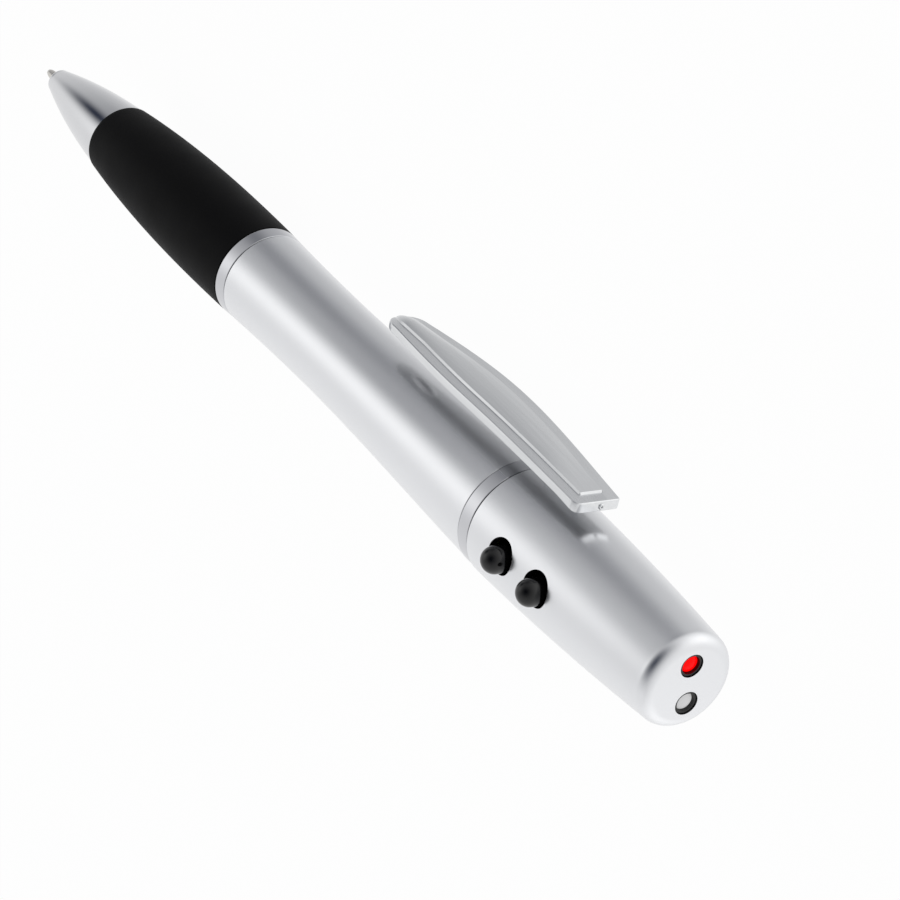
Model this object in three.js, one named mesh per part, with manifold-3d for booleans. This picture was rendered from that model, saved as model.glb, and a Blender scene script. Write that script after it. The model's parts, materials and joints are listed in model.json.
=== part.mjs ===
// A twist-action ballpoint pen with a laser pointer and a small lamp in its end.
// Sizes are in millimetres. The pen lies on a table along X, tip at -X and lamp end at +X,
// resting on its housing and on one edge of its clip. Z is up.
// Inside the pen's own group, stations run along X from the mouth of the nose cone,
// and the clip stands on the +Z side.
import * as THREE from "three";
import { mergeVertices } from "three/addons/utils/BufferGeometryUtils.js";
import Module from "manifold-3d";

// Sections of the pen, from the tip towards the lamp end.
const coneLength = 15.86;
const gripLength = 32.9;
const gripRingLength = 1.8;
const barrelLength = 52.1;
const centreRingLength = 1.9;
const housingLength = 32.3;

// Outer radii.
const mouthRadius = 1.55;
const coneRearRadius = 4.38;
const gripStep = 0.12;
const gripRearRadius = 5.83;
const barrelFrontRadius = 5.75;
const waistRadius = 5.5;
const barrelRearRadius = 6.72;
const ringStand = 0.06;
const housingFrontRadius = 6.88;
const housingRearRadius = 5.7;

// Slopes of the outline, rise over run, where each smooth run starts and ends.
const coneSlopeShares = { front: 0.285, rear: 0.095 };
const gripSlopeShares = { front: 0.125, rear: -0.02 };
const barrelSlopeShares = { front: -0.035, rear: 0.03 };
const housingSlopeShares = { front: 0, rear: -0.075 };
// Where the waist lies along the lower barrel.
const waistShare = 0.288;

// Walls, edges and clearances.
const wall = 0.9;
const edge = 0.12;
const seam = 0.1;
const twistSeam = 0.2;
const fit = 0.15;
const play = 0.25;
const overrun = 1;

// Nose cone.
const mouthRound = 0.45;
const mouthBore = 0.9;
const mouthDepth = 1.2;
const coneSeatLength = 2.6;
const coneBore = 2.1;
const coneShoulder = 1.08;
const coneSpigotLength = 5;

// Liner that carries the rubber grip.
const linerWall = 0.5;
const linerRearShare = 0.45;

// Refill.
const tipReach = 2.44;
const ballRadius = 0.38;
const tipMouthRadius = 0.72;
const tipConeLength = 4.3;
const tipPlugLength = 2;
const refillRadius = 1.18;
const refillWall = 0.32;

// Twist mechanism.
const twistTurn = Math.PI;
const twistTravel = 5;
const carrierWall = 0.85;
const carrierStemWall = 0.5;
const carrierStemLength = 2.55;
const carrierPistonLength = 7.5;
const socketDepth = 4;
const lugRadius = 0.65;
const lugInset = 4.2;
const camWall = 0.75;
const camFrontLength = 0.4;
const sleeveFlange = 1.5;
const sleeveRearLength = 3;
const collarGripLength = 5;
const collarWebLength = 1.8;
const collarSpigotLength = 3;

// Cells and their contacts.
const cellRadius = 3.95;
const cellHeight = 3.6;
const cellCount = 3;
const cellCapRadius = 2.9;
const cellCapHeight = 0.3;
const cellRim = 0.2;
const cellTubeWall = 0.5;
const springTurns = 3;
const springLength = 3.8;
const springWire = 0.28;
const springBaseRadius = 3.3;
const springTopRadius = 1.7;
const contactBlockLength = 4.6;
const contactPinReach = 1.8;
const contactPinRadius = 0.7;
const contactHeadRadius = 1.6;
const contactHeadHeight = 0.5;

// Centre ring.
const skirtWall = 0.35;
const skirtLength = 4.4;

// Upper housing.
const endRound = 1.5;
const endWall = 1.2;
const housingCollarLength = 1.9;
const lampHoleRadius = 1.4;
const lampOffset = 2.36;
const lampAzimuth = THREE.MathUtils.degToRad(-8);

// Buttons and switches.
const buttonOffset = 6;
const buttonPitch = 6.65;
const buttonAzimuth = THREE.MathUtils.degToRad(-90);
const buttonHoleRadius = 2.08;
const buttonHoleShift = 0.34;
const buttonRadius = 1.55;
const buttonProud = 2.1;
const buttonFlangeStand = 0.75;
const buttonFlangeHeight = 0.5;
const buttonTravel = 0.5;
const buttonPostRadius = 0.8;
const buttonPostInset = 0.3;
const switchSide = 3.4;
const switchHeight = 1.7;
const boardThickness = 0.8;
const boardHeight = 1;
const boardHalfWidth = 3.9;
const boardCorner = 0.8;
const boardMargin = 3;

// Laser module, lamp and the block that holds them.
const insertLength = 7;
const nozzleWall = 0.2;
const nozzleRecess = 0.15;
const windowInset = 0.1;
const nozzleSeat = 2.3;
const laserRadius = 1.9;
const laserWall = 0.4;
const diodeCanLength = 1.4;
const diodeFlangeHeight = 0.6;
const lensThickness = 1.1;
const lensBulge = 0.25;
const lensInset = 0.8;
const lampRadius = 0.95;
const lampLength = 4.4;
const lampFlangeRadius = 1.25;
const lampFlangeHeight = 0.5;
const lampLeadSide = 0.5;
const lampLeadPitch = 1.27;

// Clip.
const clipLength = 40.25;
const clipRearOffset = 11.1;
const clipRearHalfWidth = 2.92;
const clipHalfWidth = 3.78;
const clipShoulderHalfWidth = 2.26;
const clipRearStand = 2.78;
const clipCrestStand = 3.74;
const clipShoulderStand = 2.97;
const clipThickness = 1;
const clipEdge = 0.14;
const clipCorner = 0.35;
const clipBorder = 1.45;
const clipPanelStep = 0.04;
const clipPanelRise = 0.2;
const clipCrown = 0.16;
const clipTipRound = 0.4;
const clipWidthSlopeShares = { rear: 0.045, shoulder: -0.15 };
const clipHeightSlopeShares = { rear: 0.07, shoulder: -0.07 };
const clipWidestShare = 0.52;
const clipCrestShare = 0.48;
const clipShoulderShare = 0.93;
const clipFootOffset = 2.6;
const clipFootLength = 5;
const clipFootWidth = 1.2;
const clipBarbReach = 0.4;
const clipBarbHeight = 0.45;
const clipBeadShare = 0.855;
const clipBead = { length: 5, width: 2.8, depth: 1.6 };

// Facets and steps of the round and curved forms.
const outerFacets = 36;
const innerFacets = 22;
const smallFacets = 14;
const arcSteps = 4;
const weld = 1e-4;

// Outer radii and stations that follow from the sizes above.
const gripFrontRadius = coneRearRadius + gripStep;
const ringRadius = barrelRearRadius + ringStand;
const gripX = coneLength;
const gripRingX = gripX + gripLength;
const barrelX = gripRingX + gripRingLength;
const centreRingX = barrelX + barrelLength;
const twistX = centreRingX + centreRingLength;
const housingX = twistX + twistSeam;
const endX = housingX + housingLength;
const waistX = barrelX + waistShare * barrelLength;
const endInnerX = endX - endWall;

// Radii that nest inside one another, from the middle outwards.
const coneSpigotRadius = coneRearRadius - coneShoulder;
const linerBore = coneSpigotRadius + fit;
const linerRadius = linerBore + linerWall;
const barrelBore = waistRadius - wall;
const carrierRadius = refillRadius + fit + carrierWall;
const carrierStemRadius = refillRadius + fit + carrierStemWall;
const camBore = carrierRadius + play;
const camRadius = camBore + camWall;
const sleeveBore = camRadius + play;
const sleeveRadius = barrelBore - fit;
const collarRadius = barrelBore - play;
const cellTubeBore = cellRadius + fit;
const cellTubeRadius = cellTubeBore + cellTubeWall;
const cellTubeClear = cellTubeRadius + play;
const skirtRadius = cellTubeClear + skirtWall;
const nozzleRadius = lampHoleRadius - seam;
const nozzleBore = nozzleRadius - nozzleWall;

// Stations of the inner pieces, worked from the housing towards the tip.
const frontButtonX = housingX + buttonOffset;
const rearButtonX = frontButtonX + buttonPitch;
const boardFrontX = frontButtonX - switchSide / 2 - play;
const boardRearX = rearButtonX + switchSide / 2 + boardMargin;
const contactRearX = boardFrontX - play;
const contactBlockX = contactRearX - contactPinReach - contactBlockLength;
const cellStackX = contactBlockX - contactHeadHeight - 2 * seam - cellCount * (cellHeight + seam);
const collarSpigotX = cellStackX - springLength - 2 * seam - collarSpigotLength;
const collarWebX = collarSpigotX - collarWebLength;
const collarX = collarWebX - collarGripLength;
const sleeveRearX = collarX - play;
const lugX = sleeveRearX - sleeveRearLength - lugRadius - play - twistTravel;
const pistonX = lugX - lugInset;
const camX = pistonX - camFrontLength;
const sleeveInnerX = camX - play;
const sleeveX = sleeveInnerX - sleeveFlange;
const barrelShoulderX = sleeveX - seam;
const linerRearX = barrelX + linerRearShare * (barrelShoulderX - barrelX);
const carrierX = pistonX - carrierStemLength;
const refillRearX = carrierX + socketDepth - seam;
const tubeX = tipConeLength + seam;
const cellTubeX = collarSpigotX + seam;
const cellTubeRearX = contactBlockX + contactBlockLength;
const insertRearX = endInnerX - seam;
const insertX = insertRearX - insertLength;
const laserRearX = endInnerX - nozzleSeat - play;
const laserX = boardRearX + play + diodeFlangeHeight + seam;
const nozzleX = endX - nozzleRecess;
const windowX = nozzleX - windowInset;
const lampX = windowX - lampLength;

// The switches stand on the board, with a well that each cap's post sinks into.
const switchTop = boardHeight + switchHeight;
const switchWellDepth = buttonPostInset + buttonTravel + play;

// Heights of the clip's top face above the axis, and the station of its rear end.
const clipHeights = {
  rear: ringRadius + clipRearStand,
  crest: ringRadius + clipCrestStand,
  shoulder: ringRadius + clipShoulderStand,
};
const clipRearX = housingX + clipRearOffset;

const wasm = await Module();
wasm.setup();

// A geometry as a solid that can be joined and cut.
function solidOf(geometry) {
  const bare = new THREE.BufferGeometry();
  bare.setAttribute("position", geometry.getAttribute("position"));
  if (geometry.index) bare.setIndex(geometry.index);
  const merged = mergeVertices(bare, weld);
  const vertProperties = new Float32Array(merged.getAttribute("position").array);
  const triVerts = new Uint32Array(merged.index.array);
  return new wasm.Manifold(new wasm.Mesh({ numProp: 3, vertProperties, triVerts }));
}

// A solid back as a geometry.
function geometryOf(solid) {
  const { vertProperties, triVerts } = solid.getMesh();
  const geometry = new THREE.BufferGeometry();
  geometry.setAttribute("position", new THREE.BufferAttribute(vertProperties, 3));
  geometry.setIndex(new THREE.BufferAttribute(triVerts, 1));
  return geometry;
}

// One geometry with others joined to it, then others cut from it.
function joinAndCut(geometry, { join = [], cut = [] }) {
  let solid = solidOf(geometry);
  for (const other of join) solid = solid.add(solidOf(other));
  for (const other of cut) solid = solid.subtract(solidOf(other));
  return geometryOf(solid);
}

// An outline of [station, radius] pairs turned about the pen's long axis.
function turned(outline, facets = innerFacets) {
  const points = outline.map(([station, radius]) => new THREE.Vector2(radius, station));
  const onAxis = points[0].x === 0 && points[points.length - 1].x === 0;
  if (!onAxis) points.push(points[0].clone());
  return new THREE.LatheGeometry(points, facets).rotateZ(-Math.PI / 2);
}

// A plain tube between two stations.
function tube(start, end, bore, radius, facets = innerFacets) {
  const outline = [
    [start, bore],
    [start, radius],
    [end, radius],
    [end, bore],
  ];
  return turned(outline, facets);
}

// A plain rod between two stations, shifted off the axis.
function rod(start, end, radius, { y = 0, z = 0, facets = smallFacets } = {}) {
  const outline = [
    [start, 0],
    [start, radius],
    [end, radius],
    [end, 0],
  ];
  return turned(outline, facets).translate(0, y, z);
}

// A smooth run of an outline between two points, leaving and arriving at the given slopes.
function bow([x0, r0], slope0, [x1, r1], slope1, steps) {
  const third = (x1 - x0) / 3;
  const curve = new THREE.CubicBezierCurve(
    new THREE.Vector2(x0, r0),
    new THREE.Vector2(x0 + third, r0 + slope0 * third),
    new THREE.Vector2(x1 - third, r1 - slope1 * third),
    new THREE.Vector2(x1, r1),
  );
  return curve.getPoints(steps).map((point) => point.toArray());
}

// The height of a smooth run at one place along it.
function bowAt(x, [x0, r0], slope0, [x1, r1], slope1) {
  const t = (x - x0) / (x1 - x0);
  const run = x1 - x0;
  const start = (1 + 2 * t) * (1 - t) ** 2 * r0 + t * (1 - t) ** 2 * run * slope0;
  return start + (3 - 2 * t) * t ** 2 * r1 + (t - 1) * t ** 2 * run * slope1;
}

// A quarter of a round edge: from facing outwards to facing along X, or the other way round.
function quarter([x, r], radius, { from = 0, to = Math.PI / 2, steps = arcSteps } = {}) {
  const points = [];
  for (let step = 0; step <= steps; step += 1) {
    const angle = from + ((to - from) * step) / steps;
    points.push([x + radius * Math.sin(angle), r + radius * Math.cos(angle)]);
  }
  return points;
}

// A cylinder that stands on the +Z side of the axis, between two heights.
function post(x, radius, low, high, facets = smallFacets) {
  const cylinder = new THREE.CylinderGeometry(radius, radius, high - low, facets);
  return cylinder.rotateX(Math.PI / 2).translate(x, 0, (low + high) / 2);
}

// A box between two corners.
function block([x0, y0, z0], [x1, y1, z1]) {
  const box = new THREE.BoxGeometry(x1 - x0, y1 - y0, z1 - z0);
  return box.translate((x0 + x1) / 2, (y0 + y1) / 2, (z0 + z1) / 2);
}

// A skin over closed sections of equally many points, with both ends closed by a fan.
function loft(sections) {
  const count = sections[0].length;
  const corners = sections.flat();
  const faces = [];
  for (let row = 0; row + 1 < sections.length; row += 1) {
    for (let place = 0; place < count; place += 1) {
      const next = (place + 1) % count;
      const [a, b] = [row * count + place, row * count + next];
      faces.push(a, b + count, b, a, a + count, b + count);
    }
  }
  for (const [row, flip] of [[0, false], [sections.length - 1, true]]) {
    const middle = new THREE.Vector3();
    for (const corner of sections[row]) middle.addScaledVector(corner, 1 / count);
    const hub = corners.push(middle) - 1;
    for (let place = 0; place < count; place += 1) {
      const pair = [row * count + place, row * count + ((place + 1) % count)];
      if (flip) pair.reverse();
      faces.push(hub, ...pair);
    }
  }
  return new THREE.BufferGeometry().setFromPoints(corners).setIndex(faces);
}

// Moves a geometry made on the clip's side round the axis by an azimuth.
function aroundAxis(geometry, azimuth) {
  return geometry.rotateX(-azimuth);
}

function material(color, roughness, metalness) {
  return new THREE.MeshStandardMaterial({ color, roughness, metalness });
}

const satinSilver = material(0xd2d5d9, 0.34, 0.85);
const polishedMetal = material(0xc8cbd0, 0.1, 1);
const brushedClip = material(0xb4b7bb, 0.28, 1);
const blackRubber = material(0x17181a, 0.85, 0);
const blackGloss = material(0x0c0c0d, 0.15, 0);
const blackPlastic = material(0x141414, 0.5, 0);
const brass = material(0xc9a352, 0.3, 1);
const steel = material(0xb9bcc0, 0.3, 1);
const whitePlastic = material(0xe4e4df, 0.5, 0);
const boardGreen = material(0x1f6b3a, 0.6, 0);
const clearGlass = material(0xeef3f5, 0.05, 0);

const pen = new THREE.Group();

function addPiece(name, geometry, finish) {
  geometry.computeVertexNormals();
  const mesh = new THREE.Mesh(geometry, finish);
  mesh.name = name;
  pen.add(mesh);
}

// The outline of the housing between its front face and its rounded end.
const housingFrontPoint = [housingX, housingFrontRadius];
const housingRearPoint = [endX - endRound, housingRearRadius];
function housingRadiusAt(x) {
  return bowAt(
    x,
    housingFrontPoint,
    housingSlopeShares.front,
    housingRearPoint,
    housingSlopeShares.rear,
  );
}

function noseCone() {
  const skin = bow(
    [mouthRound, mouthRadius],
    coneSlopeShares.front,
    [coneLength, coneRearRadius],
    coneSlopeShares.rear,
    7,
  );
  const mouthCentre = [mouthRound, mouthRadius - mouthRound];
  const spigotEnd = coneLength + coneSpigotLength;
  return turned(
    [
      [0, mouthBore],
      ...quarter(mouthCentre, mouthRound, { from: -Math.PI / 2, to: 0, steps: 3 }),
      ...skin.slice(1),
      [coneLength, coneSpigotRadius],
      [spigotEnd, coneSpigotRadius],
      [spigotEnd, coneBore],
      [mouthDepth + coneSeatLength, coneBore],
      [mouthDepth, mouthBore],
    ],
    outerFacets,
  );
}

function gripLiner() {
  return tube(coneLength + seam, linerRearX, linerBore, linerRadius, innerFacets);
}

function rubberGrip() {
  const front = gripX + seam;
  const rear = gripRingX - seam;
  const skin = bow(
    [front + edge, gripFrontRadius],
    gripSlopeShares.front,
    [rear - edge, gripRearRadius],
    gripSlopeShares.rear,
    9,
  );
  return turned(
    [
      [front, linerRadius + fit],
      [front, gripFrontRadius - edge],
      ...skin,
      [rear, gripRearRadius - edge],
      [rear, linerRadius + fit],
    ],
    outerFacets,
  );
}

function gripRing() {
  const rear = barrelX - seam;
  return turned(
    [
      [gripRingX, linerRadius + fit],
      [gripRingX, gripRearRadius - edge],
      [gripRingX + edge, gripRearRadius],
      [rear - edge, barrelFrontRadius],
      [rear, barrelFrontRadius - edge],
      [rear, linerRadius + fit],
    ],
    outerFacets,
  );
}

function lowerBarrel() {
  const toWaist = bow(
    [barrelX + edge, barrelFrontRadius],
    barrelSlopeShares.front,
    [waistX, waistRadius],
    0,
    3,
  );
  const toRear = bow(
    [waistX, waistRadius],
    0,
    [centreRingX - edge, barrelRearRadius],
    barrelSlopeShares.rear,
    7,
  );
  const counterboreX = centreRingX - skirtLength - play;
  const widenX = collarSpigotX - play;
  return turned(
    [
      [barrelX, linerRadius + fit],
      [barrelX, barrelFrontRadius - edge],
      ...toWaist,
      ...toRear.slice(1),
      [centreRingX, barrelRearRadius - edge],
      [centreRingX, skirtRadius + fit],
      [counterboreX, skirtRadius + fit],
      [counterboreX, cellTubeClear],
      [widenX, cellTubeClear],
      [widenX, barrelBore],
      [barrelShoulderX, barrelBore],
      [barrelShoulderX, linerRadius + fit],
    ],
    outerFacets,
  );
}

function centreRing() {
  const front = centreRingX + seam;
  return turned(
    [
      [front - skirtLength, cellTubeClear],
      [front - skirtLength, skirtRadius],
      [front, skirtRadius],
      [front, ringRadius - edge],
      [front + edge, ringRadius],
      [twistX - edge, ringRadius],
      [twistX, ringRadius - edge],
      [twistX, cellTubeClear],
    ],
    outerFacets,
  );
}

// The fixed sleeve has two straight slots that keep the carrier from turning.
function mechanismSleeve() {
  const body = turned([
    [sleeveX, carrierStemRadius + play],
    [sleeveX, sleeveRadius],
    [sleeveRearX, sleeveRadius],
    [sleeveRearX, sleeveBore],
    [sleeveInnerX, sleeveBore],
    [sleeveInnerX, carrierStemRadius + play],
  ]);
  const half = lugRadius + play;
  const slot = block(
    [lugX - half, -sleeveRadius - overrun, -half],
    [lugX + twistTravel + half, sleeveRadius + overrun, half],
  );
  return joinAndCut(body, { cut: [slot] });
}

// The cam turns with the upper half. Two helical slots, half a turn each, drive the carrier.
function camTube() {
  const half = lugRadius + play;
  const steps = 10;
  const slots = [0, Math.PI].flatMap((start) => {
    const sections = [];
    for (let step = 0; step <= steps; step += 1) {
      const share = step / steps;
      const angle = start + twistTurn * share;
      const x = lugX + twistTravel * share;
      const corner = (dx, radius) =>
        new THREE.Vector3(x + dx, radius * Math.cos(angle), -radius * Math.sin(angle));
      const [low, high] = [camBore - overrun, camRadius + overrun];
      sections.push([corner(half, low), corner(half, high), corner(-half, high), corner(-half, low)]);
    }
    const ends = [[lugX, start], [lugX + twistTravel, start + twistTurn]].map(([x, angle]) =>
      post(x, half, camBore - overrun, camRadius + overrun).rotateX(-angle - Math.PI / 2),
    );
    return [loft(sections), ...ends];
  });
  return joinAndCut(tube(camX, collarWebX - seam, camBore, camRadius), { cut: slots });
}

function refillCarrier() {
  const pistonEnd = pistonX + carrierPistonLength;
  const body = turned([
    [carrierX, refillRadius + fit],
    [carrierX, carrierStemRadius],
    [pistonX, carrierStemRadius],
    [pistonX, carrierRadius],
    [pistonEnd, carrierRadius],
    [pistonEnd, 0],
    [carrierX + socketDepth, 0],
    [carrierX + socketDepth, refillRadius + fit],
  ]);
  const lug = new THREE.CylinderGeometry(lugRadius, lugRadius, 2 * (sleeveRadius - fit), smallFacets);
  return joinAndCut(body, { join: [lug.translate(lugX, 0, 0)] });
}

function refillTip() {
  const plugRadius = refillRadius - refillWall - fit;
  return turned([
    [-tipReach, 0],
    [-tipReach + ballRadius * (1 - Math.SQRT1_2), ballRadius * Math.SQRT1_2],
    [-tipReach + ballRadius, ballRadius],
    [0, tipMouthRadius],
    [mouthDepth, tipMouthRadius],
    [tipConeLength - refillRadius, refillRadius],
    [tipConeLength, refillRadius],
    [tipConeLength, plugRadius],
    [tipConeLength + tipPlugLength, plugRadius],
    [tipConeLength + tipPlugLength, 0],
  ]);
}

function refillTube() {
  return tube(tubeX, refillRearX, refillRadius - refillWall, refillRadius);
}

// The collar joins the cam to the cell tube, so both turn with the housing.
function driveCollar() {
  const spigotRadius = cellTubeBore - fit;
  return turned([
    [collarX, camRadius + fit],
    [collarX, collarRadius],
    [collarSpigotX, collarRadius],
    [collarSpigotX, spigotRadius],
    [collarSpigotX + collarSpigotLength, spigotRadius],
    [collarSpigotX + collarSpigotLength, 0],
    [collarWebX, 0],
    [collarWebX, camRadius + fit],
  ]);
}

function cellTube() {
  return tube(cellTubeX, cellTubeRearX, cellTubeBore, cellTubeRadius);
}

// A conical spring that presses the cells towards the contact.
function cellSpring() {
  const start = collarSpigotX + collarSpigotLength + seam + springWire;
  const end = cellStackX - seam - springWire;
  class Coil extends THREE.Curve {
    getPoint(share, target = new THREE.Vector3()) {
      const angle = 2 * Math.PI * springTurns * share;
      const radius = springBaseRadius + (springTopRadius - springBaseRadius) * share;
      const x = start + (end - start) * share;
      return target.set(x, radius * Math.cos(angle), radius * Math.sin(angle));
    }
  }
  const section = new THREE.Shape().absarc(0, 0, springWire, 0, 2 * Math.PI);
  return new THREE.ExtrudeGeometry(section, {
    extrudePath: new Coil(),
    steps: 12 * springTurns,
    curveSegments: 3,
  });
}

function cell(index) {
  const front = cellStackX + index * (cellHeight + seam);
  const rear = front + cellHeight;
  return turned([
    [front, 0],
    [front, cellCapRadius],
    [front + cellCapHeight, cellCapRadius],
    [front + cellCapHeight, cellRadius - cellRim],
    [front + cellCapHeight + cellRim, cellRadius],
    [rear, cellRadius],
    [rear, 0],
  ]);
}

function contactBlock() {
  return tube(
    contactBlockX,
    contactBlockX + contactBlockLength,
    contactPinRadius + fit,
    cellTubeBore - fit,
  );
}

function contactPin() {
  const head = contactBlockX - seam - contactHeadHeight;
  return turned([
    [head, 0],
    [head, contactHeadRadius],
    [head + contactHeadHeight, contactHeadRadius],
    [head + contactHeadHeight, contactPinRadius],
    [contactRearX, contactPinRadius],
    [contactRearX, 0],
  ], smallFacets);
}

// A closed shell with a rounded end: two lamp holes, two button holes and a slot for the clip.
function upperHousing() {
  const front = [housingX + edge, housingFrontRadius];
  const skin = bow(front, housingSlopeShares.front, housingRearPoint, housingSlopeShares.rear, 8);
  const collarEnd = housingX + housingCollarLength;
  const lining = bow(
    [collarEnd, housingRadiusAt(collarEnd) - wall],
    housingSlopeShares.front,
    [endInnerX, housingRearRadius - wall],
    housingSlopeShares.rear,
    5,
  ).reverse();
  const shell = turned(
    [
      [housingX, cellTubeRadius + fit],
      [housingX, housingFrontRadius - edge],
      ...skin.slice(0, -1),
      ...quarter([endX - endRound, housingRearRadius - endRound], endRound, { steps: 5 }),
      [endX, 0],
      [endInnerX, 0],
      ...lining,
      [collarEnd, cellTubeRadius + fit],
    ],
    outerFacets,
  );
  const lampHoles = [lampOffset, -lampOffset].map((z) =>
    aroundAxis(rod(endInnerX - overrun, endX + overrun, lampHoleRadius, { z }), lampAzimuth),
  );
  const buttonHoles = [frontButtonX, rearButtonX].map((x) => {
    const hole = post(x, buttonHoleRadius, boardHalfWidth, clipHeights.crest);
    return aroundAxis(hole.translate(0, buttonHoleShift, 0), buttonAzimuth);
  });
  const slotFront = housingX + clipFootOffset - fit;
  const slotRear = housingX + clipFootOffset + clipFootLength + fit;
  const slotHalf = clipFootWidth / 2 + fit;
  const clipSlot = block(
    [slotFront, -slotHalf, boardHalfWidth],
    [slotRear, slotHalf, clipHeights.crest],
  );
  return joinAndCut(shell, { cut: [...lampHoles, ...buttonHoles, clipSlot] });
}

// Half width and height of the clip's top face at a distance from its rear end.
function clipShapeAt(distance) {
  const shoulder = clipShoulderShare * clipLength;
  const widest = clipWidestShare * clipLength;
  const crest = clipCrestShare * clipLength;
  const place = Math.min(distance, shoulder);
  const widthRuns = [
    [[0, clipRearHalfWidth], clipWidthSlopeShares.rear, [widest, clipHalfWidth], 0],
    [[widest, clipHalfWidth], 0, [shoulder, clipShoulderHalfWidth], clipWidthSlopeShares.shoulder],
  ];
  const heightRuns = [
    [[0, clipHeights.rear], clipHeightSlopeShares.rear, [crest, clipHeights.crest], 0],
    [[crest, clipHeights.crest], 0, [shoulder, clipHeights.shoulder], clipHeightSlopeShares.shoulder],
  ];
  let halfWidth = bowAt(place, ...widthRuns[place < widest ? 0 : 1]);
  let top = bowAt(place, ...heightRuns[place < crest ? 0 : 1]);
  const past = Math.max(distance - shoulder, 0);
  top += clipHeightSlopeShares.shoulder * past;
  if (past > 0) halfWidth *= Math.sqrt(1 - (past / (clipLength - shoulder)) ** 2);
  const toCorner = Math.max(clipCorner - distance, 0);
  halfWidth -= clipCorner - Math.sqrt(clipCorner ** 2 - toCorner ** 2);
  return { halfWidth, top };
}

// One cross-section of the clip: flat border, raised and crowned panel, square underside.
function clipSection(distance, panelRise, squeeze) {
  const { halfWidth, top } = clipShapeAt(distance);
  const bevel = Math.min(clipEdge, halfWidth / 4);
  const panel = Math.max(halfWidth - clipBorder, halfWidth / 2);
  const step = Math.min(clipPanelStep, panel / 2);
  const high = top - squeeze;
  const low = top - clipThickness + squeeze;
  const side = [
    [halfWidth - bevel, low],
    [halfWidth, low + bevel],
    [halfWidth, high - bevel],
    [halfWidth - bevel, high],
    [panel, high],
    [panel - step, high + panelRise],
  ];
  const mirrored = side.map(([y, z]) => [-y, z]).reverse();
  const ring = [...side, [0, high + (1 + clipCrown / clipPanelRise) * panelRise], ...mirrored];
  return ring.map(([y, z]) => new THREE.Vector3(clipRearX - distance, y, z));
}

// The clip is a thick leaf with a foot that snaps through the housing's slot
// and a low bead under its tip.
function clip() {
  const shoulder = clipShoulderShare * clipLength;
  const tip = clipLength - shoulder;
  const sections = [0, clipCorner / 4, clipCorner, clipBorder].map((place) => clipSection(place, 0, 0));
  const panelStart = clipBorder + clipPanelStep;
  const steps = 13;
  for (let step = 0; step <= steps; step += 1) {
    const place = panelStart + ((shoulder - panelStart) * step) / steps;
    sections.push(clipSection(place, clipPanelRise, 0));
  }
  for (const angle of [30, 52, 68, 80].map(THREE.MathUtils.degToRad)) {
    const squeeze = clipTipRound * (1 - Math.cos(angle));
    sections.push(clipSection(shoulder + tip * Math.sin(angle), clipPanelRise * Math.cos(angle), squeeze));
  }
  const footX = housingX + clipFootOffset;
  const footEnd = footX + clipFootLength;
  const footHalf = clipFootWidth / 2;
  const underside = clipShapeAt(clipRearX - footX).top - clipThickness;
  const barbTop = housingRadiusAt(footEnd) - wall - play - clipBarbReach;
  const barbLow = barbTop - clipBarbHeight;
  const foot = block([footX, -footHalf, barbLow], [footEnd, footHalf, underside + clipThickness / 2]);
  const barbs = block(
    [footX - clipBarbReach, -footHalf, barbLow],
    [footEnd + clipBarbReach, footHalf, barbTop],
  );
  const beadPlace = clipBeadShare * clipLength;
  const bead = new THREE.SphereGeometry(1, smallFacets, smallFacets / 2);
  bead.scale(clipBead.length / 2, clipBead.width / 2, clipBead.depth);
  bead.translate(clipRearX - beadPlace, 0, clipShapeAt(beadPlace).top - clipThickness);
  const beadTop = block(
    [clipRearX - clipLength, -clipHalfWidth, clipShapeAt(beadPlace).top - clipThickness / 2],
    [clipRearX, clipHalfWidth, clipHeights.crest + overrun],
  );
  const lowBead = joinAndCut(bead, { cut: [beadTop] });
  return joinAndCut(loft(sections), { join: [foot, barbs, lowBead] });
}

// The heights of a button's parts above the axis.
function buttonHeights(x) {
  const surface = housingRadiusAt(x);
  const flangeTop = surface - wall - buttonFlangeStand;
  return { top: surface + buttonProud, flangeTop, flangeLow: flangeTop - buttonFlangeHeight };
}

// A domed cap with a flange that keeps it in its hole and a post that works the switch.
function button(x) {
  const { top, flangeTop, flangeLow } = buttonHeights(x);
  const flangeRadius = buttonHoleRadius + buttonHoleShift + fit;
  const dome = quarter([top - buttonRadius, 0], buttonRadius, { steps: 6 });
  const cap = turned([
    [switchTop - buttonPostInset, 0],
    [switchTop - buttonPostInset, buttonPostRadius],
    [flangeLow, buttonPostRadius],
    [flangeLow, flangeRadius],
    [flangeTop, flangeRadius],
    [flangeTop, buttonRadius],
    ...dome.slice(0, -1),
    [top, 0],
  ], smallFacets);
  return aroundAxis(cap.rotateY(-Math.PI / 2).translate(x, 0, 0), buttonAzimuth);
}

function tactSwitch(x) {
  const half = switchSide / 2;
  const body = block([x - half, -half, boardHeight + seam], [x + half, half, switchTop]);
  const well = post(x, buttonPostRadius + fit, switchTop - switchWellDepth, switchTop + overrun);
  return aroundAxis(joinAndCut(body, { cut: [well] }), buttonAzimuth);
}

function circuitBoard() {
  const outline = new THREE.Shape();
  const half = boardHalfWidth;
  outline.moveTo(boardFrontX + boardCorner, -half);
  outline.lineTo(boardRearX - boardCorner, -half);
  outline.lineTo(boardRearX, -half + boardCorner);
  outline.lineTo(boardRearX, half - boardCorner);
  outline.lineTo(boardRearX - boardCorner, half);
  outline.lineTo(boardFrontX + boardCorner, half);
  outline.lineTo(boardFrontX, half - boardCorner);
  outline.lineTo(boardFrontX, -half + boardCorner);
  outline.closePath();
  const board = new THREE.ExtrudeGeometry(outline, { depth: boardThickness, bevelEnabled: false });
  return aroundAxis(board.translate(0, 0, boardHeight - boardThickness), buttonAzimuth);
}

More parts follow.
